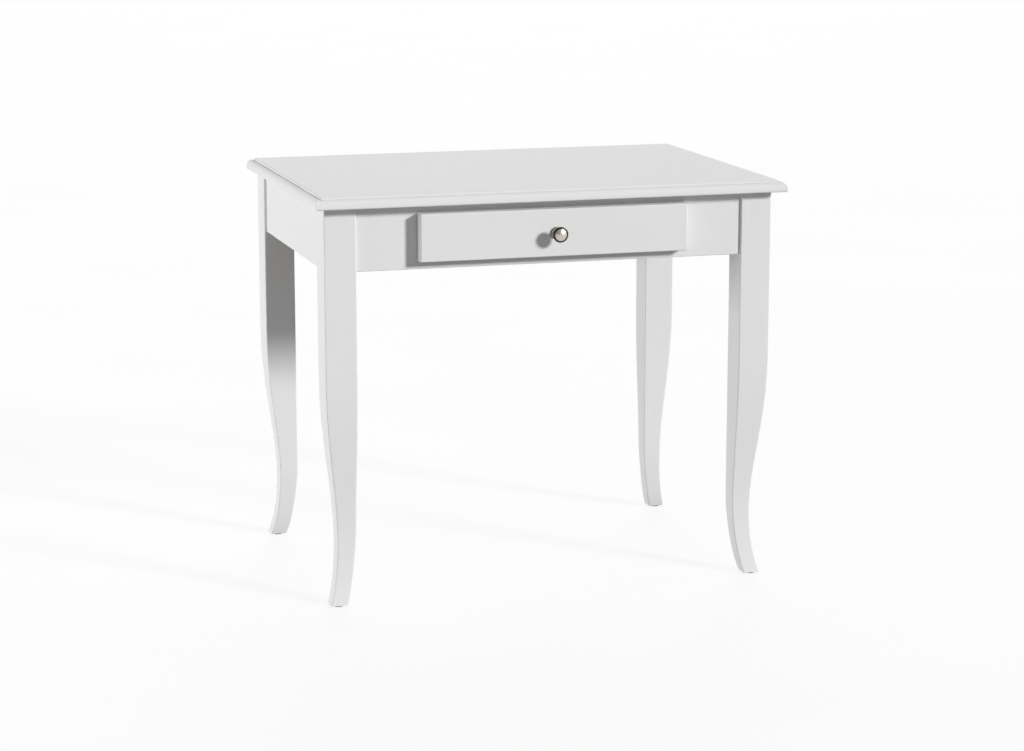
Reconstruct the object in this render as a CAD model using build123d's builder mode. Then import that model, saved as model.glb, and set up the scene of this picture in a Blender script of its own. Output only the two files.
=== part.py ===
from build123d import *
from math import sqrt
import os

os.makedirs("parts", exist_ok=True)

# A writing desk on four sabre legs with one drawer behind an overlaid front.
# Millimetres. +X is to the right of somebody sitting at it, -Y is towards them, +Z is up.
# The origin lies on the floor, under the middle of the whole desk with its drawer shut.

# ---- overall sizes ----
top_width = 900.0
top_depth = 640.0
desk_height = 767.0

# ---- top panel and its moulded edge ----
top_thickness = 22.0
side_overhang = 20.0
front_overhang = 32.0
rear_overhang = 12.0
edge_under_round = 2.5
edge_lip = 4.0
edge_ovolo_width = 10.0
edge_bead_round = 1.1
edge_quirk_width = 1.8
field_rise = 4.0
field_round = 3.6

# ---- legs: square block above, sabre curve below ----
leg_block = 60.0
leg_arris_round = 2.5
straight_above = 430.0
sweep_height = 255.0
sweep_inset = 13.0
hollow_height = 108.0
hollow_inset = 23.5
foot_inset = 7.0
foot_thickness = 32.0
foot_slope = 0.36
heel_height = 152.0
shin_height = 69.0
shin_inner = 53.4
glide_height = 3.0
glide_diameter = 22.0
glide_edge_round = 0.8
glide_pin_diameter = 2.5
glide_pin_length = 14.0

# ---- aprons ----
apron_height = 119.0
apron_thickness = 20.0
apron_recess = 5.5
apron_edge_round = 1.5
dowel_diameter = 8.0
dowel_length = 40.0
dowel_edge_distance = 26.0
dowel_end_gap = 0.5

# ---- corner blocks and their bolts ----
seat_chamfer = 12.0
block_thickness = 28.0
block_end_gap = 34.5
bolt_diameter = 8.0
bolt_depth_in_leg = 40.0
bolt_end_beyond_nut = 3.0
bolt_tip = 5.0
washer_diameter = 20.0
washer_thickness = 1.6
nut_across_flats = 13.0
nut_thickness = 6.5

# ---- drawer ----
front_thickness = 24.0
front_edge_round = 2.0
front_gap_beside = 114.5
front_gap_above = 15.0
front_gap_below = 16.0
front_stand_off = 3.0
opening_side_cover = 20.0
opening_edge_cover = 10.0
box_side_clearance = 1.5
box_room_above = 8.0
box_room_behind = 128.0
box_board = 12.0
bottom_panel = 4.0
bottom_rise = 6.0
groove_depth = 6.0
groove_end_gap = 0.5
box_dowel_diameter = 6.0
box_dowel_length = 30.0
box_dowel_in_side = 8.0
box_dowel_above_bottom = 17.0
box_dowel_below_top = 11.0
front_screw_length = 30.0
front_screw_end = 42.0
front_screw_above_bottom = 16.0
front_screw_below_top = 11.0

# ---- knob ----
knob_diameter = 29.0
knob_projection = 33.0
knob_head_depth = 10.0
knob_rim = 2.6
knob_neck_diameter = 11.0
collar_diameter = 21.0
collar_thickness = 3.5
knob_screw_diameter = 4.0
knob_screw_in_knob = 11.0
knob_screw_head_diameter = 8.0
knob_screw_head_height = 2.6

# ---- what the drawer runs in ----
runner_width = 30.0
runner_height = 18.0
guide_width = 14.0
guide_height = 24.0
guide_clearance = 1.0
kicker_width = 20.0
kicker_clearance = 2.0
runner_dowel_diameter = 6.0
runner_dowel_in_apron = 12.0
runner_dowel_in_runner = 18.0
runner_dowel_spread = 8.0
closing_stop_length = 30.0
closing_stop_height = 20.0
pull_stop_back = 127.5
pull_stop_thickness = 20.0
pull_stop_drop = 10.0
pull_stop_end_gap = 3.0

# ---- cleats and screws under the top ----
cleat_width = 20.0
cleat_height = 28.0
side_cleat_end_gap = 23.0
rear_cleat_end_gap = 170.0
screw_diameter = 4.0
screw_head_diameter = 8.0
screw_head_height = 2.4
screw_tip = 5.0
top_screw_length = 40.0
sunk_screw_clearance = 1.0
cleat_screw_end = 60.0
pull_stop_screw_end = 69.0
kicker_screw_end = 67.5

# ---- clearance around pins, dowels and screws ----
pin_clearance = 0.1

# ---- places that follow from the sizes above ----
under_top = desk_height - top_thickness
leg_x = top_width / 2 - side_overhang
leg_y = (top_depth - front_overhang - rear_overhang) / 2
top_middle_y = (rear_overhang - front_overhang) / 2
apron_bottom = under_top - apron_height
apron_middle = (apron_bottom + under_top) / 2
apron_end_x = leg_x - leg_block
apron_end_y = leg_y - leg_block
apron_face_x = leg_x - apron_recess
apron_face_y = leg_y - apron_recess
inner_x = apron_face_x - apron_thickness
inner_y = apron_face_y - apron_thickness
dowel_heights = (apron_bottom + dowel_edge_distance, under_top - dowel_edge_distance)

front_top = under_top - front_gap_above
front_bottom = apron_bottom + front_gap_below
front_half = apron_end_x - front_gap_beside
front_back_y = -apron_face_y - front_stand_off
front_face_y = front_back_y - front_thickness
opening_half = front_half - opening_side_cover
opening_bottom = front_bottom + opening_edge_cover
opening_top = front_top - opening_edge_cover
box_half = opening_half - box_side_clearance
box_inner_half = box_half - box_board
box_bottom = opening_bottom
box_top = opening_top - box_room_above
box_rear_y = inner_y - box_room_behind
panel_bottom = box_bottom + bottom_rise
knob_height = (front_top + front_bottom) / 2
guide_inner = box_half + guide_clearance
runner_outer = guide_inner + guide_width
kicker_bottom = box_top + kicker_clearance
pull_stop_half = box_inner_half - pull_stop_end_gap
side_cleat_half = apron_end_y - side_cleat_end_gap
rear_cleat_half = apron_end_x - rear_cleat_end_gap
cleat_bottom = under_top - cleat_height

# distance from the meeting line of two apron inner faces, measured along both together
leg_proud = leg_block - apron_recess - apron_thickness
seat_sum = 2 * leg_proud - seat_chamfer
block_sum = seat_sum + block_thickness * sqrt(2)

# pieces are drawn about the middle of the four legs; the desk reaches from the knob to the top's rear edge
middle_shift = (knob_projection - front_face_y - top_middle_y - top_depth / 2) / 2

SIDES = {"left": -1, "right": 1}
ENDS = {"front": -1, "rear": 1}


def save(piece, name):
    """Name a finished piece, move it so that the origin is under the whole desk, and write it."""
    piece.part.label = name
    export_step(piece.part.moved(Location((0, middle_shift, 0))), "parts/" + name + ".step")


def slab(x0, x1, y0, y1, z0, z1, mode=Mode.ADD):
    """A straight board between two X, two Y and two Z values, in the current part."""
    with BuildSketch(Plane.XY.offset(z0)) as section:
        with Locations(((x0 + x1) / 2, (y0 + y1) / 2)):
            Rectangle(abs(x1 - x0), abs(y1 - y0))
    extrude(section.sketch, amount=z1 - z0, mode=mode)


def rod(start, direction, diameter, length, mode=Mode.ADD):
    """A round bar, or with Mode.SUBTRACT a round bore, from a start point along a direction."""
    with BuildSketch(Plane(origin=start, z_dir=direction)) as section:
        Circle(diameter / 2)
    extrude(section.sketch, amount=length, mode=mode)


def bore(start, direction, diameter, length):
    """A bore for a pin of the given diameter."""
    rod(start, direction, diameter + 2 * pin_clearance, length, Mode.SUBTRACT)


def screw_hole(start, direction, length):
    """A countersunk hole for a wood screw whose head lies flush with the start point."""
    plane = Plane(origin=start, z_dir=direction)
    bore(start, direction, screw_diameter, length + pin_clearance)
    with BuildSketch(plane) as rim:
        Circle(screw_head_diameter / 2 + pin_clearance)
    with BuildSketch(plane.offset(screw_head_height)) as throat:
        Circle(screw_diameter / 2 + pin_clearance)
    loft(sections=[rim.sketch.face(), throat.sketch.face()], mode=Mode.SUBTRACT)


def sunk_screw_hole(start, bottom):
    """Hole for a screw whose head lies at the start point, up a counterbore from a lower face."""
    x, y, z = start
    rod((x, y, bottom), (0, 0, 1), screw_head_diameter + 2 * sunk_screw_clearance, z - bottom, Mode.SUBTRACT)
    screw_hole(start, (0, 0, 1), cleat_height)


def wood_screw(length):
    """A countersunk wood screw, head at the origin, point towards +Z."""
    with BuildPart() as screw:
        with BuildSketch(Plane.XZ):
            with BuildLine():
                Polyline(
                    (0, 0),
                    (screw_head_diameter / 2, 0),
                    (screw_diameter / 2, screw_head_height),
                    (screw_diameter / 2, length - screw_tip),
                    (0, length),
                    close=True,
                )
            make_face()
        revolve(axis=Axis.Z)
    return screw.part


def screws(length, starts, direction):
    """A group of equal wood screws."""
    one = wood_screw(length)
    with BuildPart() as group:
        with Locations(*[Plane(origin=start, z_dir=direction).location for start in starts]):
            add(one)
    return group


def corner_point(side, end, along_x, along_y, height):
    """A point given by its distances inwards from the inner faces of two aprons."""
    return (side * (inner_x - along_x), end * (inner_y - along_y), height)


def diagonal_point(side, end, distance):
    """A point on the 45 degree line of a bolt, at a distance from the apron meeting line."""
    return corner_point(side, end, distance / sqrt(2), distance / sqrt(2), apron_middle)


# ---- top ----


def top_outline(half):
    """Section of the top: eased lower edge, lip, ovolo with a bead, quirk and raised field."""
    lip = under_top + edge_lip
    bead_top = desk_height - field_rise
    quirk_floor = bead_top - edge_bead_round
    bead = half - edge_ovolo_width
    quirk_outer = bead - edge_bead_round
    quirk_inner = quirk_outer - edge_quirk_width
    field_edge = quirk_inner - field_round
    field_spring = desk_height - field_round
    Line((0, under_top), (half - edge_under_round, under_top))
    CenterArc((half - edge_under_round, under_top + edge_under_round), edge_under_round, -90, 90)
    Line((half, under_top + edge_under_round), (half, lip))
    EllipticalCenterArc((bead, lip), edge_ovolo_width, bead_top - lip, arc_size=90)
    CenterArc((bead, quirk_floor), edge_bead_round, 90, 90)
    Line((quirk_outer, quirk_floor), (quirk_inner, quirk_floor))
    Line((quirk_inner, quirk_floor), (quirk_inner, field_spring))
    CenterArc((field_edge, field_spring), field_round, 0, 90)
    Line((field_edge, desk_height), (0, desk_height))
    mirror(about=Plane.YZ)


def make_desk_top():
    """Flat panel, moulded on its four edges with mitred corners."""
    with BuildPart() as desk_top:
        with BuildSketch(Plane.XZ):
            with BuildLine():
                top_outline(top_width / 2)
            make_face()
        extrude(amount=top_depth, both=True)
        with BuildSketch(Plane(origin=(0, top_middle_y, 0), x_dir=(0, 1, 0), z_dir=(1, 0, 0))):
            with BuildLine():
                top_outline(top_depth / 2)
            make_face()
        extrude(amount=top_width, both=True, mode=Mode.INTERSECT)
        for start in top_screw_starts():
            bore(start, (0, 0, 1), screw_diameter, top_screw_length + pin_clearance)
    return desk_top


# ---- legs ----


def leg_outline(sign, face):
    """Outline of a leg seen square to one face; the same curve is cut on both faces."""
    top_outer = (sign * face, under_top)
    knee = (sign * face, straight_above)
    sweep = (sign * (face - sweep_inset), sweep_height)
    hollow = (sign * (face - hollow_inset), hollow_height)
    toe = (sign * (face - foot_inset), glide_height)
    heel = (sign * (face - foot_inset - foot_thickness), glide_height)
    shin = (sign * (face - shin_inner), shin_height)
    calf = (sign * (face - leg_block), heel_height)
    top_inner = (sign * (face - leg_block), under_top)
    Line(top_outer, knee)
    Spline(knee, sweep, hollow, toe, tangents=((0, -1), (sign * foot_slope, -1)))
    Line(toe, heel)
    Spline(heel, shin, calf, tangents=((-sign * foot_slope, 1), (0, 1)))
    Line(calf, top_inner)
    Line(top_inner, top_outer)


def make_leg(side, end):
    """One leg, cut from the square by the same curve on two faces, arrises rounded."""
    with BuildPart() as leg:
        with BuildSketch(Plane.XZ):
            with BuildLine():
                leg_outline(side, leg_x)
            make_face()
        extrude(amount=top_depth, both=True)
        with BuildSketch(Plane.YZ):
            with BuildLine():
                leg_outline(end, leg_y)
            make_face()
        extrude(amount=top_width, both=True, mode=Mode.INTERSECT)
        arrises = leg.edges().filter_by(lambda edge: edge.bounding_box().size.Z > leg_block)
        fillet(arrises, leg_arris_round)
        # flat across the inner arris that bears on the corner block
        far = leg_proud + seat_chamfer
        near = seat_sum - far
        with BuildSketch(Plane.XY.offset(apron_bottom)):
            with BuildLine():
                Polyline(
                    corner_point(side, end, far, far, 0)[:2],
                    corner_point(side, end, far, near, 0)[:2],
                    corner_point(side, end, near, far, 0)[:2],
                    close=True,
                )
            make_face()
        extrude(amount=apron_height, mode=Mode.SUBTRACT)
        # dowel holes for the two aprons
        hole_depth = dowel_length / 2 + dowel_end_gap
        for height in dowel_heights:
            start = (side * apron_end_x, end * (apron_face_y - apron_thickness / 2), height)
            bore(start, (side, 0, 0), dowel_diameter, hole_depth)
            start = (side * (apron_face_x - apron_thickness / 2), end * apron_end_y, height)
            bore(start, (0, end, 0), dowel_diameter, hole_depth)
        # hole for the hanger bolt, and for the pin of the glide
        start = diagonal_point(side, end, seat_sum / sqrt(2))
        bore(start, (side, end, 0), bolt_diameter, bolt_depth_in_leg + dowel_end_gap)
        start = foot_centre(side, end, glide_height)
        bore(start, (0, 0, 1), glide_pin_diameter, glide_pin_length + dowel_end_gap)
    return leg


def foot_centre(side, end, height):
    """Middle of a foot."""
    inset = foot_inset + foot_thickness / 2
    return (side * (leg_x - inset), end * (leg_y - inset), height)


def make_glide(side, end):
    """A nail-on plastic glide under a foot."""
    with BuildPart() as glide:
        rod(foot_centre(side, end, 0), (0, 0, 1), glide_diameter, glide_height)
        fillet(glide.edges().group_by(Axis.Z)[0], glide_edge_round)
        pin_start = foot_centre(side, end, glide_height)
        rod(pin_start, (0, 0, 1), glide_pin_diameter, glide_pin_length)
    return glide


# ---- aprons ----


def make_long_apron(end):
    """Front or rear apron; the front one has the opening that the drawer box goes through."""
    with BuildPart() as apron:
        slab(-apron_end_x, apron_end_x, end * apron_face_y, end * inner_y, apron_bottom, under_top)
        lower_edges = apron.edges().filter_by(Axis.X).group_by(Axis.Z)[0]
        fillet(lower_edges.sort_by(Axis.Y)[0 if end < 0 else -1], apron_edge_round)
        if end < 0:
            slab(
                -opening_half,
                opening_half,
                -apron_face_y,
                -inner_y,
                opening_bottom,
                opening_top,
                Mode.SUBTRACT,
            )
        middle = end * (apron_face_y - apron_thickness / 2)
        hole_depth = dowel_length / 2 + dowel_end_gap
        for side in SIDES.values():
            for height in dowel_heights:
                bore((side * apron_end_x, middle, height), (-side, 0, 0), dowel_diameter, hole_depth)
            for start in runner_dowel_starts(side, end):
                hole_depth_runner = runner_dowel_in_apron + dowel_end_gap
                bore(start, (0, end, 0), runner_dowel_diameter, hole_depth_runner)
    return apron


def make_side_apron(side):
    """Side apron between a front leg and a rear leg."""
    with BuildPart() as apron:
        slab(side * inner_x, side * apron_face_x, -apron_end_y, apron_end_y, apron_bottom, under_top)
        lower_edges = apron.edges().filter_by(Axis.Y).group_by(Axis.Z)[0]
        fillet(lower_edges.sort_by(Axis.X)[0 if side < 0 else -1], apron_edge_round)
        middle = side * (apron_face_x - apron_thickness / 2)
        hole_depth = dowel_length / 2 + dowel_end_gap
        for end in ENDS.values():
            for height in dowel_heights:
                bore((middle, end * apron_end_y, height), (0, -end, 0), dowel_diameter, hole_depth)
    return apron


def make_apron_dowels():
    """Two dowels in each joint between an apron and a leg."""
    with BuildPart() as dowels:
        for side in SIDES.values():
            for end in ENDS.values():
                for height in dowel_heights:
                    middle_y = end * (apron_face_y - apron_thickness / 2)
                    start_x = side * (apron_end_x - dowel_length / 2)
                    rod((start_x, middle_y, height), (side, 0, 0), dowel_diameter, dowel_length)
                    middle_x = side * (apron_face_x - apron_thickness / 2)
                    start_y = end * (apron_end_y - dowel_length / 2)
                    rod((middle_x, start_y, height), (0, end, 0), dowel_diameter, dowel_length)
    return dowels


# ---- corner blocks and bolts ----


def make_corner_block(side, end):
    """Wooden block set at 45 degrees between two aprons, bearing on the flat of the leg."""
    with BuildPart() as block:
        with BuildSketch(Plane.XY.offset(apron_bottom + block_end_gap)):
            with BuildLine():
                Polyline(
                    corner_point(side, end, seat_sum, 0, 0)[:2],
                    corner_point(side, end, block_sum, 0, 0)[:2],
                    corner_point(side, end, 0, block_sum, 0)[:2],
                    corner_point(side, end, 0, seat_sum, 0)[:2],
                    close=True,
                )
            make_face()
        extrude(amount=apron_height - 2 * block_end_gap)
        start = diagonal_point(side, end, block_sum / sqrt(2))
        bore(start, (side, end, 0), bolt_diameter, block_thickness)
    return block


def make_hanger_bolts():
    """A hanger bolt in each corner, pointed where it is screwed into the leg."""
    start_distance = seat_sum / sqrt(2) - bolt_depth_in_leg
    end_distance = block_sum / sqrt(2) + washer_thickness + nut_thickness + bolt_end_beyond_nut
    radius = bolt_diameter / 2
    with BuildPart() as bolts:
        for side in SIDES.values():
            for end in ENDS.values():
                start = diagonal_point(side, end, start_distance)
                plane = Plane(origin=start, z_dir=(-side, -end, 0))
                with BuildSketch(plane):
                    Circle(radius / 2)
                with BuildSketch(plane.offset(bolt_tip)):
                    Circle(radius)
                loft()
                shank_start = diagonal_point(side, end, start_distance + bolt_tip)
                shank_length = end_distance - start_distance - bolt_tip
                rod(shank_start, (-side, -end, 0), bolt_diameter, shank_length)
    return bolts


def make_bolt_washers():
    """A washer on each hanger bolt, against its corner block."""
    with BuildPart() as washers:
        for side in SIDES.values():
            for end in ENDS.values():
                start = diagonal_point(side, end, block_sum / sqrt(2))
                with BuildSketch(Plane(origin=start, z_dir=(-side, -end, 0))):
                    Circle(washer_diameter / 2)
                    Circle(bolt_diameter / 2 + pin_clearance, mode=Mode.SUBTRACT)
                extrude(amount=washer_thickness)
    return washers


def make_bolt_nuts():
    """A hexagon nut on each hanger bolt."""
    with BuildPart() as nuts:
        for side in SIDES.values():
            for end in ENDS.values():
                start = diagonal_point(side, end, block_sum / sqrt(2) + washer_thickness)
                with BuildSketch(Plane(origin=start, z_dir=(-side, -end, 0))):
                    RegularPolygon(nut_across_flats / 2, 6, major_radius=False)
                    Circle(bolt_diameter / 2 + pin_clearance, mode=Mode.SUBTRACT)
                extrude(amount=nut_thickness)
    return nuts


# ---- what the drawer runs in ----


def runner_dowel_starts(side, end):
    """Where the runner dowels cross from a runner into an apron."""
    middle = side * (runner_outer - runner_width / 2)
    height = box_bottom - runner_height / 2
    return [(middle + shift, end * inner_y, height) for shift in (-runner_dowel_spread, runner_dowel_spread)]


def make_runner(side):
    """Hardwood runner from the front apron to the rear one, under a drawer side."""
    inner = side * (runner_outer - runner_width)
    with BuildPart() as runner:
        slab(inner, side * runner_outer, -inner_y, inner_y, box_bottom - runner_height, box_bottom)
        for end in ENDS.values():
            for start in runner_dowel_starts(side, end):
                hole_depth = runner_dowel_in_runner + dowel_end_gap
                bore(start, (0, -end, 0), runner_dowel_diameter, hole_depth)
    return runner


def make_runner_dowels():
    """Two dowels in each end of each runner."""
    length = runner_dowel_in_apron + runner_dowel_in_runner
    with BuildPart() as dowels:
        for side in SIDES.values():
            for end in ENDS.values():
                for x, y, z in runner_dowel_starts(side, end):
                    start = (x, y - end * runner_dowel_in_runner, z)
                    rod(start, (0, end, 0), runner_dowel_diameter, length)
    return dowels


def make_guide(side):
    """Strip glued on a runner beside a drawer side; it keeps the drawer straight."""
    with BuildPart() as guide:
        bottom = box_bottom
        slab(side * guide_inner, side * runner_outer, -inner_y, inner_y, bottom, bottom + guide_height)
    return guide


def make_kicker(side):
    """Strip under the top, just above a drawer side; it keeps the open drawer from tipping."""
    inner = side * box_inner_half
    outer = side * (box_inner_half + kicker_width)
    with BuildPart() as kicker:
        slab(inner, outer, -inner_y, inner_y, kicker_bottom, under_top)
        for start in kicker_screw_starts(side):
            sunk_screw_hole(start, kicker_bottom)
    return kicker


def make_closing_stop(side):
    """Block glued on a runner, met by the rear end of a drawer side when the drawer is shut."""
    with BuildPart() as stop:
        slab(
            side * box_inner_half,
            side * box_half,
            box_rear_y,
            box_rear_y + closing_stop_length,
            box_bottom,
            box_bottom + closing_stop_height,
        )
    return stop


def make_pull_stop():
    """Batten under the top that the drawer back meets when the drawer is pulled out."""
    half = pull_stop_half
    front = -inner_y + pull_stop_back - pull_stop_thickness
    bottom = box_top - pull_stop_drop
    with BuildPart() as batten:
        slab(-half, half, front, front + pull_stop_thickness, bottom, under_top)
        for start in pull_stop_screw_starts():
            sunk_screw_hole(start, bottom)
    return batten


# ---- cleats and screws under the top ----


def make_side_cleat(side):
    """Cleat glued inside a side apron to take the screws of the top."""
    inner = side * (inner_x - cleat_width)
    with BuildPart() as cleat:
        slab(inner, side * inner_x, -side_cleat_half, side_cleat_half, cleat_bottom, under_top)
        for start in side_cleat_screw_starts(side):
            screw_hole(start, (0, 0, 1), cleat_height)
    return cleat


def make_rear_cleat():
    """Cleat glued inside the rear apron to take the screws of the top."""
    half = rear_cleat_half
    with BuildPart() as cleat:
        slab(-half, half, inner_y - cleat_width, inner_y, cleat_bottom, under_top)
        for start in rear_cleat_screw_starts():
            screw_hole(start, (0, 0, 1), cleat_height)
    return cleat


def side_cleat_screw_starts(side):
    """Screw heads under a side cleat."""
    x = side * (inner_x - cleat_width / 2)
    spread = side_cleat_half - cleat_screw_end
    return [(x, y, cleat_bottom) for y in (-spread, 0, spread)]


def rear_cleat_screw_starts():
    """Screw heads under the rear cleat."""
    y = inner_y - cleat_width / 2
    spread = rear_cleat_half - cleat_screw_end
    return [(x, y, cleat_bottom) for x in (-spread, 0, spread)]


def kicker_screw_starts(side):
    """Screw heads in a kicker, sunk until they hold as deep as the cleat screws."""
    x = side * (box_inner_half + kicker_width / 2)
    spread = inner_y - kicker_screw_end
    return [(x, y, cleat_bottom) for y in (-spread, 0, spread)]


def pull_stop_screw_starts():
    """Screw heads in the batten, sunk in the same way."""
    y = -inner_y + pull_stop_back - pull_stop_thickness / 2
    spread = pull_stop_half - pull_stop_screw_end
    return [(x, y, cleat_bottom) for x in (-spread, 0, spread)]


def top_screw_starts():
    """Heads of all the screws that go up into the top."""
    starts = rear_cleat_screw_starts() + pull_stop_screw_starts()
    for side in SIDES.values():
        starts += side_cleat_screw_starts(side) + kicker_screw_starts(side)
    return starts


# ---- drawer ----


def make_drawer_front():
    """Overlaid drawer front with eased edges."""
    with BuildPart() as front:
        slab(-front_half, front_half, front_face_y, front_back_y, front_bottom, front_top)
        fillet(front.edges().group_by(Axis.Y)[0], front_edge_round)
        for start in front_screw_starts():
            bore(start, (0, -1, 0), screw_diameter, front_screw_length + pin_clearance)
        bore((0, front_back_y, knob_height), (0, -1, 0), knob_screw_diameter, front_thickness)
    return front


def front_screw_starts():
    """Heads of the screws that hold the overlaid front, inside the drawer."""
    y = front_back_y + box_board
    spread = box_inner_half - front_screw_end
    heights = (box_bottom + front_screw_above_bottom, box_top - front_screw_below_top)
    return [(x, y, z) for x in (-spread, spread) for z in heights]


def cut_panel_groove(x0, x1, y0, y1):
    """Groove for the edge of the bottom panel, in the current part."""
    slab(x0, x1, y0, y1, panel_bottom, panel_bottom + bottom_panel, Mode.SUBTRACT)


def box_dowel_starts(side, y):
    """Where the dowels of one box corner cross from a side into a cross board."""
    heights = (box_bottom + box_dowel_above_bottom, box_top - box_dowel_below_top)
    return [(side * box_inner_half, y, z) for z in heights]


def box_cross_board(y0, y1, groove_y):
    """Board between the two drawer sides, with dowel holes and a groove; in the current part."""
    slab(-box_inner_half, box_inner_half, y0, y1, box_bottom, box_top)
    cut_panel_groove(-box_inner_half, box_inner_half, groove_y - groove_depth, groove_y + groove_depth)
    for side in SIDES.values():
        for start in box_dowel_starts(side, (y0 + y1) / 2):
            depth = box_dowel_length - box_dowel_in_side + dowel_end_gap
            bore(start, (-side, 0, 0), box_dowel_diameter, depth)


def make_box_front():
    """Front board of the drawer box, screwed to the overlaid front."""
    rear = front_back_y + box_board
    with BuildPart() as board:
        box_cross_board(front_back_y, rear, rear)
        for start in front_screw_starts():
            screw_hole(start, (0, -1, 0), box_board)
        bore((0, rear, knob_height), (0, -1, 0), knob_screw_diameter, box_board)
    return board


def make_drawer_back():
    """Rear board of the drawer box."""
    front = box_rear_y - box_board
    with BuildPart() as board:
        box_cross_board(front, box_rear_y, front)
    return board


def make_drawer_side(side):
    """Side of the drawer box, grooved for the bottom panel."""
    inner = side * box_inner_half
    groove_start = front_back_y + box_board - groove_depth
    groove_end = box_rear_y - box_board + groove_depth
    with BuildPart() as board:
        slab(inner, side * box_half, front_back_y, box_rear_y, box_bottom, box_top)
        cut_panel_groove(inner, inner + side * groove_depth, groove_start, groove_end)
        for y in (front_back_y + box_board / 2, box_rear_y - box_board / 2):
            for start in box_dowel_starts(side, y):
                bore(start, (side, 0, 0), box_dowel_diameter, box_dowel_in_side + dowel_end_gap)
    return board


def make_drawer_bottom():
    """Thin panel let into the grooves of the four boards."""
    reach = groove_depth - groove_end_gap
    half = box_inner_half + reach
    front = front_back_y + box_board - reach
    rear = box_rear_y - box_board + reach
    with BuildPart() as panel:
        slab(-half, half, front, rear, panel_bottom, panel_bottom + bottom_panel)
    return panel


def make_box_dowels():
    """Two dowels in each corner of the drawer box."""
    with BuildPart() as dowels:
        for side in SIDES.values():
            for y in (front_back_y + box_board / 2, box_rear_y - box_board / 2):
                for x, start_y, z in box_dowel_starts(side, y):
                    start = (x + side * box_dowel_in_side, start_y, z)
                    rod(start, (-side, 0, 0), box_dowel_diameter, box_dowel_length)
    return dowels


# ---- knob ----


def knob_plane():
    """Plane through the knob axis; its Y points out of the drawer front."""
    return Plane(origin=(0, front_face_y, knob_height), x_dir=(1, 0, 0), z_dir=(0, 0, -1))


def make_knob_collar():
    """Thin base ring between the drawer front and the neck of the knob."""
    with BuildPart() as collar:
        with BuildSketch(Plane(origin=(0, front_face_y, knob_height), z_dir=(0, -1, 0))):
            Circle(collar_diameter / 2)
            Circle(knob_screw_diameter / 2 + pin_clearance, mode=Mode.SUBTRACT)
        extrude(amount=collar_thickness)
        fillet(collar.edges().group_by(Axis.Y)[0].sort_by(SortBy.RADIUS)[-1], collar_thickness / 3)
    return collar


def make_knob():
    """Turned metal knob: waisted neck, rounded rim and a domed face inside it."""
    axis = Axis((0, front_face_y, knob_height), (0, -1, 0))
    neck = knob_neck_diameter / 2
    radius = knob_diameter / 2
    head_back = knob_projection - knob_head_depth
    rim_front = knob_projection - knob_head_depth / 3
    dome_radius = radius - knob_rim
    with BuildPart() as knob:
        with BuildSketch(knob_plane()):
            with BuildLine():
                Line((0, collar_thickness), (neck + 1, collar_thickness))
                Spline(
                    (neck + 1, collar_thickness),
                    (neck, (collar_thickness + head_back) / 2),
                    (radius - knob_rim, head_back + knob_head_depth / 4),
                    tangents=((-0.3, 1), (1, 0.25)),
                )
                ThreePointArc(
                    (radius - knob_rim, head_back + knob_head_depth / 4),
                    (radius, (head_back + knob_head_depth / 4 + rim_front) / 2),
                    (dome_radius, rim_front),
                )
                Spline(
                    (dome_radius, rim_front),
                    (0, knob_projection),
                    tangents=((-0.9, 0.5), (-1, 0)),
                )
                Line((0, knob_projection), (0, collar_thickness))
            make_face()
        revolve(axis=axis)
        start = (0, front_face_y - collar_thickness, knob_height)
        hole_depth = knob_screw_in_knob - collar_thickness + dowel_end_gap
        bore(start, (0, -1, 0), knob_screw_diameter, hole_depth)
    return knob


def make_knob_screw():
    """Pan-headed machine screw through the box front and the drawer front into the knob."""
    start_y = front_back_y + box_board
    length = box_board + front_thickness + knob_screw_in_knob
    with BuildPart() as screw:
        rod((0, start_y, knob_height), (0, -1, 0), knob_screw_diameter, length)
        rod((0, start_y, knob_height), (0, 1, 0), knob_screw_head_diameter, knob_screw_head_height)
        fillet(screw.edges().group_by(Axis.Y)[-1], knob_screw_head_height / 2)
    return screw


# ---- build and write every piece ----

save(make_desk_top(), "desk_top")
for end_name, end in ENDS.items():
    save(make_long_apron(end), end_name + "_apron")
    for side_name, side in SIDES.items():
        place = end_name + "_" + side_name
        save(make_leg(side, end), "leg_" + place)
        save(make_glide(side, end), "glide_" + place)
        save(make_corner_block(side, end), "corner_block_" + place)
for side_name, side in SIDES.items():
    save(make_side_apron(side), "side_apron_" + side_name)
    save(make_runner(side), "drawer_runner_" + side_name)
    save(make_guide(side), "drawer_guide_" + side_name)
    save(make_kicker(side), "drawer_kicker_" + side_name)
    save(make_closing_stop(side), "closing_stop_" + side_name)
    save(make_side_cleat(side), "top_cleat_" + side_name)
    save(make_drawer_side(side), "drawer_side_" + side_name)
save(make_rear_cleat(), "top_cleat_rear")
save(make_pull_stop(), "pull_stop_batten")
save(make_apron_dowels(), "apron_dowels")
save(make_runner_dowels(), "runner_dowels")
save(make_hanger_bolts(), "hanger_bolts")
save(make_bolt_washers(), "bolt_washers")
save(make_bolt_nuts(), "bolt_nuts")
save(screws(top_screw_length, top_screw_starts(), (0, 0, 1)), "top_screws")
save(make_drawer_front(), "drawer_front")
save(make_box_front(), "drawer_box_front")
save(make_drawer_back(), "drawer_back")
save(make_drawer_bottom(), "drawer_bottom")
save(make_box_dowels(), "drawer_box_dowels")
save(screws(front_screw_length, front_screw_starts(), (0, -1, 0)), "drawer_front_screws")
save(make_knob_collar(), "knob_collar")
save(make_knob(), "drawer_knob")
save(make_knob_screw(), "knob_screw")
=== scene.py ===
import math

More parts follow.
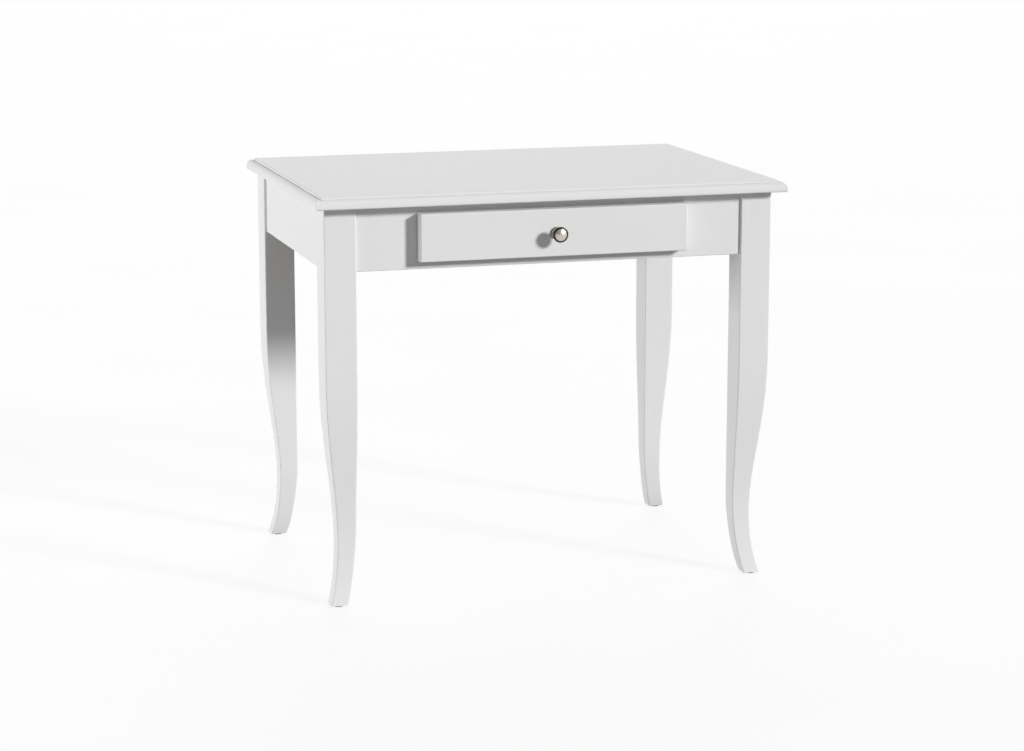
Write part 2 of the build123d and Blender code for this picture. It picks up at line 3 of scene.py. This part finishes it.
import bmesh
import bpy
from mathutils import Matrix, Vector


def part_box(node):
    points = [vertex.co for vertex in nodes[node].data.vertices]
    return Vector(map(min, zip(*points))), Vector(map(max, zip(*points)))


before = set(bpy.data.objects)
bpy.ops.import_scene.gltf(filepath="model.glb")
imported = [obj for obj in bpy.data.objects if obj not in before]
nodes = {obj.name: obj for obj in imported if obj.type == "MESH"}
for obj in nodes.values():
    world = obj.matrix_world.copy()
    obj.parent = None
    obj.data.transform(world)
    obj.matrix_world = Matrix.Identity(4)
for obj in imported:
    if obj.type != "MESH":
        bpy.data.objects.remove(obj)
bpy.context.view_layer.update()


# ---------------------------------------------------------------- material tools

# places of the colour sockets of a Mix node, which has sockets of the same name for each type
MIX_FACTOR, MIX_A, MIX_B, MIX_RESULT = 0, 6, 7, 2

NICKEL = (0.64, 0.61, 0.55)
WORN_NICKEL = (0.50, 0.47, 0.41)
KNOB_FACE_RADIUS = 0.0109
COLLAR_FACE_RADIUS = 0.0098
EDGE_BLUR = 0.0004
BEECH = ((0.42, 0.25, 0.13), (0.57, 0.38, 0.22), (0.68, 0.49, 0.31))
BIRCH = ((0.56, 0.40, 0.25), (0.68, 0.53, 0.36), (0.76, 0.63, 0.46))


class Shader:
    """A node tree under construction, with short names for the nodes used here."""

    def __init__(self, name):
        self.material = bpy.data.materials.new(name)
        self.material.use_nodes = True
        self.tree = self.material.node_tree
        self.tree.nodes.clear()
        self.out = self.tree.nodes.new("ShaderNodeOutputMaterial")
        self.bsdf = self.tree.nodes.new("ShaderNodeBsdfPrincipled")
        self.link(self.bsdf, "BSDF", self.out, "Surface")
        self.coords = self.tree.nodes.new("ShaderNodeTexCoord")

    def link(self, a, a_out, b, b_in):
        self.tree.links.new(a.outputs[a_out], b.inputs[b_in])

    def place(self, scale=(1, 1, 1), offset=(0, 0, 0)):
        """Object coordinates, stretched and moved."""
        node = self.tree.nodes.new("ShaderNodeMapping")
        node.inputs["Scale"].default_value = scale
        node.inputs["Location"].default_value = offset
        self.link(self.coords, "Object", node, "Vector")
        return node

    def noise(self, mapping, scale, detail=4.0, rough=0.5, distortion=0.0):
        node = self.tree.nodes.new("ShaderNodeTexNoise")
        node.inputs["Scale"].default_value = scale
        node.inputs["Detail"].default_value = detail
        node.inputs["Roughness"].default_value = rough
        node.inputs["Distortion"].default_value = distortion
        self.link(mapping, "Vector", node, "Vector")
        return node

    def spread(self, node, out, low, high, to_low, to_high):
        """A value between low and high moved to another range."""
        span = self.tree.nodes.new("ShaderNodeMapRange")
        span.inputs["From Min"].default_value = low
        span.inputs["From Max"].default_value = high
        span.inputs["To Min"].default_value = to_low
        span.inputs["To Max"].default_value = to_high
        self.link(node, out, span, "Value")
        return span

    def math(self, kind, a, a_out, b, b_out=None):
        node = self.tree.nodes.new("ShaderNodeMath")
        node.operation = kind
        self.tree.links.new(a.outputs[a_out], node.inputs[0])
        if b_out is None:
            node.inputs[1].default_value = b
        else:
            self.tree.links.new(b.outputs[b_out], node.inputs[1])
        return node

    def ramp(self, node, out, stops):
        ramp = self.tree.nodes.new("ShaderNodeValToRGB")
        elements = ramp.color_ramp.elements
        while len(elements) < len(stops):
            elements.new(0.5)
        for element, (position, colour) in zip(elements, stops):
            element.position = position
            element.color = (*colour, 1)
        self.link(node, out, ramp, "Fac")
        return ramp

    def bump(self, node, out, strength, distance, under=None):
        bump = self.tree.nodes.new("ShaderNodeBump")
        bump.inputs["Strength"].default_value = strength
        bump.inputs["Distance"].default_value = distance
        self.link(node, out, bump, "Height")
        if under is not None:
            self.link(under, "Normal", bump, "Normal")
        self.link(bump, "Normal", self.bsdf, "Normal")
        return bump

    def set(self, **values):
        for key, value in values.items():
            self.bsdf.inputs[key.replace("_", " ")].default_value = value


def along(axis, stretch):
    """Scale for a grain that runs along one axis; the smaller the stretch, the longer the grain."""
    return tuple(stretch if letter == axis else 1.0 for letter in "XYZ")


def white_lacquer(name, axis):
    """Dull white lacquer; the wood's grain is only just seen through it."""
    s = Shader(name)
    grain = s.noise(s.place(along(axis, 0.06)), 150.0, 5.0, 0.6, 0.3)
    cloud = s.noise(s.place(), 3.2, 3.0, 0.5)
    peel = s.noise(s.place(), 700.0, 2.0, 0.5)
    mixed = s.math("ADD", s.spread(grain, "Fac", 0.35, 0.7, -0.4, 0.4), "Result",
                   s.spread(cloud, "Fac", 0.3, 0.7, -0.4, 0.4), "Result")
    colour = s.ramp(s.spread(mixed, "Value", -0.8, 0.8, 0, 1), "Result",
                    [(0.0, (0.752, 0.753, 0.753)), (0.5, (0.768, 0.768, 0.768)),
                     (1.0, (0.780, 0.780, 0.779))])
    s.link(colour, "Color", s.bsdf, "Base Color")
    rough = s.spread(s.math("ADD", grain, "Fac", cloud, "Fac"), "Value", 0.6, 1.4, 0.58, 0.70)
    s.link(rough, "Result", s.bsdf, "Roughness")
    grain_bump = s.bump(grain, "Fac", 0.06, 0.0002)
    s.bump(peel, "Fac", 0.04, 0.0001, under=grain_bump)
    s.set(IOR=1.45, Specular_IOR_Level=0.08)
    return s.material


def bare_wood(name, axis, dark, middle, pale):
    """Planed wood with growth rings, fine pores and a little colour variation."""
    s = Shader(name + "_" + axis.lower())
    wide = s.noise(s.place(along(axis, 0.12)), 38.0, 3.0, 0.5, 0.6)
    rings = s.tree.nodes.new("ShaderNodeTexWave")
    rings.wave_type = "BANDS"
    rings.bands_direction = "DIAGONAL"
    rings.inputs["Scale"].default_value = 26.0
    rings.inputs["Distortion"].default_value = 5.0
    rings.inputs["Detail"].default_value = 3.0
    s.link(s.place(along(axis, 0.05)), "Vector", rings, "Vector")
    pores = s.noise(s.place(along(axis, 0.03)), 420.0, 3.0, 0.6)
    mixed = s.math("ADD", s.spread(rings, "Fac", 0, 1, 0, 0.35), "Result",
                   s.spread(wide, "Fac", 0.3, 0.7, 0, 0.5), "Result")
    mixed = s.math("ADD", mixed, "Value",
                   s.spread(pores, "Fac", 0.35, 0.65, -0.12, 0.12), "Result")
    colour = s.ramp(mixed, "Value", [(0.0, dark), (0.45, middle), (1.0, pale)])
    s.link(colour, "Color", s.bsdf, "Base Color")
    s.link(s.spread(pores, "Fac", 0.3, 0.7, 0.72, 0.58), "Result", s.bsdf, "Roughness")
    s.bump(pores, "Fac", 0.25, 0.0003)
    return s.material


def metal(name, colour, dull, rough_low, rough_high):
    """Plated or cast metal with faint tarnish and fine scratches."""
    s = Shader(name)
    cloud = s.noise(s.place(), 160.0, 4.0, 0.6)
    fine = s.noise(s.place(), 2600.0, 3.0, 0.6)
    tone = s.ramp(s.spread(cloud, "Fac", 0.35, 0.65, 0, 1), "Result", [(0.0, dull), (1.0, colour)])
    s.link(tone, "Color", s.bsdf, "Base Color")
    s.link(s.spread(fine, "Fac", 0.3, 0.7, rough_low, rough_high), "Result", s.bsdf, "Roughness")
    s.bump(fine, "Fac", 0.06, 0.00005)
    s.set(Metallic=1.0)
    return s.material


def turned_nickel(name, node, painted_rim_colour, face_radius):
    """Nickel turned about the knob's own Y axis: bright inside a radius; outside it the colour is
    darkened, a painted dark reflection at the rim.
    """
    s = Shader(name)
    low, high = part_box(node)
    centre = (low + high) / 2
    split = s.tree.nodes.new("ShaderNodeSeparateXYZ")
    s.link(s.place(offset=(-centre.x, 0, -centre.z)), "Vector", split, "Vector")
    cloud = s.noise(s.place(), 230.0, 4.0, 0.6)
    fine = s.noise(s.place(), 2600.0, 3.0, 0.6)
    across = s.math("POWER", split, "X", 2.0)
    upright = s.math("POWER", split, "Z", 2.0)
    radius = s.math("SQRT", s.math("ADD", across, "Value", upright, "Value"), "Value", 0.0)
    inside = s.spread(radius, "Value", face_radius - EDGE_BLUR, face_radius + EDGE_BLUR, 1, 0)
    tone = s.ramp(s.spread(cloud, "Fac", 0.35, 0.65, 0, 1), "Result",
                  [(0.0, WORN_NICKEL), (1.0, NICKEL)])
    # painted dark reflection: outside the face radius the rim gets a dark colour that stands in for
    # the dark surroundings reflected at the edge
    painted_rim_reflection = s.ramp(s.spread(cloud, "Fac", 0.3, 0.7, 0, 1), "Result",
                    [(0.0, tuple(0.6 * c for c in painted_rim_colour)), (1.0, painted_rim_colour)])
    mix = s.tree.nodes.new("ShaderNodeMix")
    mix.data_type = "RGBA"
    s.link(inside, "Result", mix, MIX_FACTOR)
    s.link(painted_rim_reflection, "Color", mix, MIX_A)
    s.link(tone, "Color", mix, MIX_B)
    s.link(mix, MIX_RESULT, s.bsdf, "Base Color")
    s.link(s.spread(fine, "Fac", 0.3, 0.7, 0.26, 0.38), "Result", s.bsdf, "Roughness")
    s.bump(fine, "Fac", 0.05, 0.00005)
    s.set(Metallic=1.0)
    return s.material


def plastic(name, colour):
    """Moulded plastic with a slight grain."""
    s = Shader(name)
    fine = s.noise(s.place(), 1500.0, 2.0, 0.5)
    tone = s.ramp(fine, "Fac", [(0.3, tuple(0.85 * c for c in colour)), (0.7, colour)])
    s.link(tone, "Color", s.bsdf, "Base Color")
    s.link(s.spread(fine, "Fac", 0.3, 0.7, 0.45, 0.6), "Result", s.bsdf, "Roughness")
    s.bump(fine, "Fac", 0.15, 0.0001)
    return s.material


# ---------------------------------------------------------------- finishes

WHITE = {axis: white_lacquer("white_lacquer_" + axis.lower(), axis) for axis in "XYZ"}
WOOD = {axis: bare_wood("bare_beech", axis, *BEECH) for axis in "XYZ"}
BOX = {axis: bare_wood("birch_board", axis, *BIRCH) for axis in "XY"}
ZINC = metal("zinc_steel", (0.62, 0.63, 0.65), (0.50, 0.51, 0.53), 0.26, 0.42)
# the dark rims of the knob and the collar are painted dark reflections
KNOB = turned_nickel("aged_nickel", "drawer_knob", (0.055, 0.050, 0.042), KNOB_FACE_RADIUS)
COLLAR = turned_nickel("collar_nickel_painted_rim_reflection", "knob_collar", (0.10, 0.09, 0.08), COLLAR_FACE_RADIUS)
GLIDE = plastic("glide_plastic", (0.05, 0.05, 0.052))
BOARD = white_lacquer("white_hardboard", "Y")

FINISH = {
    "desk_top": WHITE["X"],
    "front_apron": WHITE["X"],
    "rear_apron": WHITE["X"],
    "side_apron_left": WHITE["Y"],
    "side_apron_right": WHITE["Y"],
    "drawer_front": WHITE["X"],
    "drawer_box_front": BOX["X"],
    "drawer_back": BOX["X"],
    "drawer_side_left": BOX["Y"],
    "drawer_side_right": BOX["Y"],
    "drawer_bottom": BOARD,
    "drawer_knob": KNOB,
    "knob_collar": COLLAR,
    "knob_screw": ZINC,
    "hanger_bolts": ZINC,
    "bolt_washers": ZINC,
    "bolt_nuts": ZINC,
    "top_screws": ZINC,
    "drawer_front_screws": ZINC,
    "apron_dowels": WOOD["X"],
    "drawer_box_dowels": WOOD["X"],
    "runner_dowels": WOOD["Y"],
    "top_cleat_rear": WOOD["X"],
    "pull_stop_batten": WOOD["X"],
}
for name, piece in nodes.items():
    if name.startswith("leg_"):
        finish = WHITE["Z"]
    elif name.startswith("glide_"):
        finish = GLIDE
    else:
        finish = FINISH.get(name, WOOD["Y"])
    if not piece.material_slots:
        piece.data.materials.append(finish)
    for slot in piece.material_slots:
        slot.material = finish


# ---------------------------------------------------------------- floor, light, camera

FLOOR_HALF_WIDTH = 60.0
FLOOR_GLOW = 0.86
CAMERA_LENS = 96.52
CAMERA_PLACE = (-1.4947, -5.0420, 1.4261)
CAMERA_YAW = 0.2890
CAMERA_PITCH = 0.1997


def make_floor():
    mesh = bpy.data.meshes.new("floor")
    bm = bmesh.new()
    bmesh.ops.create_grid(bm, x_segments=1, y_segments=1, size=FLOOR_HALF_WIDTH)
    bm.to_mesh(mesh)
    bm.free()
    floor = bpy.data.objects.new("floor", mesh)
    bpy.context.scene.collection.objects.link(floor)
    s = Shader("floor_white")
    cloud = s.noise(s.place(), 1.5, 2.0, 0.5)
    colour = s.ramp(cloud, "Fac", [(0.3, (0.10, 0.10, 0.10)), (0.7, (0.11, 0.11, 0.11))])
    s.link(colour, "Color", s.bsdf, "Base Color")
    s.set(Roughness=0.9, Specular_IOR_Level=0.1,
          Emission_Color=(1, 1, 1, 1), Emission_Strength=FLOOR_GLOW)
    mesh.materials.append(s.material)
    # the floor glows, but its glow doesn't light the desk
    floor.visible_diffuse = False


def make_sun(name, direction, strength, angle):
    """A far light shining from a direction; the wider its angle in degrees, the softer it is."""
    data = bpy.data.lights.new(name, "SUN")
    data.energy = strength
    data.angle = math.radians(angle)
    lamp = bpy.data.objects.new(name, data)
    lamp.rotation_mode = "QUATERNION"
    lamp.rotation_quaternion = Vector(direction).to_track_quat("Z", "Y")
    bpy.context.scene.collection.objects.link(lamp)


def make_panel(name, location, width, height, power):
    """A soft box that shines level towards the desk."""
    data = bpy.data.lights.new(name, "AREA")
    data.shape = "RECTANGLE"
    data.size = width
    data.size_y = height
    data.energy = power
    lamp = bpy.data.objects.new(name, data)
    lamp.location = location
    lamp.rotation_mode = "QUATERNION"
    lamp.rotation_quaternion = Vector((location[0], location[1], 0)).to_track_quat("Z", "Y")
    bpy.context.scene.collection.objects.link(lamp)


def make_world(strength):
    world = bpy.data.worlds.new("studio")
    world.use_nodes = True
    back = world.node_tree.nodes["Background"]
    back.inputs["Color"].default_value = (1, 1, 1, 1)
    back.inputs["Strength"].default_value = strength
    bpy.context.scene.world = world


def make_camera():
    """Far camera with a long lens, to the left of the desk and above it."""
    data = bpy.data.cameras.new("camera")
    data.sensor_width = 36.0
    data.lens = CAMERA_LENS
    data.clip_end = 200.0
    camera = bpy.data.objects.new("camera", data)
    level = math.cos(CAMERA_PITCH)
    ahead = Vector((math.sin(CAMERA_YAW) * level, math.cos(CAMERA_YAW) * level,
                    -math.sin(CAMERA_PITCH)))
    camera.location = CAMERA_PLACE
    camera.rotation_mode = "QUATERNION"
    camera.rotation_quaternion = ahead.to_track_quat("-Z", "Y")
    bpy.context.scene.collection.objects.link(camera)
    bpy.context.scene.camera = camera


make_floor()
make_world(strength=0.275)
make_sun("key", direction=(0.78, -0.90, 0.44), strength=2.86, angle=9.0)
make_sun("rear", direction=(0.25, 0.85, 0.50), strength=1.46, angle=40.0)
make_panel("left_panel", location=(-6.0, 1.0, 0.78), width=4.6, height=1.5, power=275.0)
make_camera()
bpy.context.scene.view_settings.view_transform = "Standard"
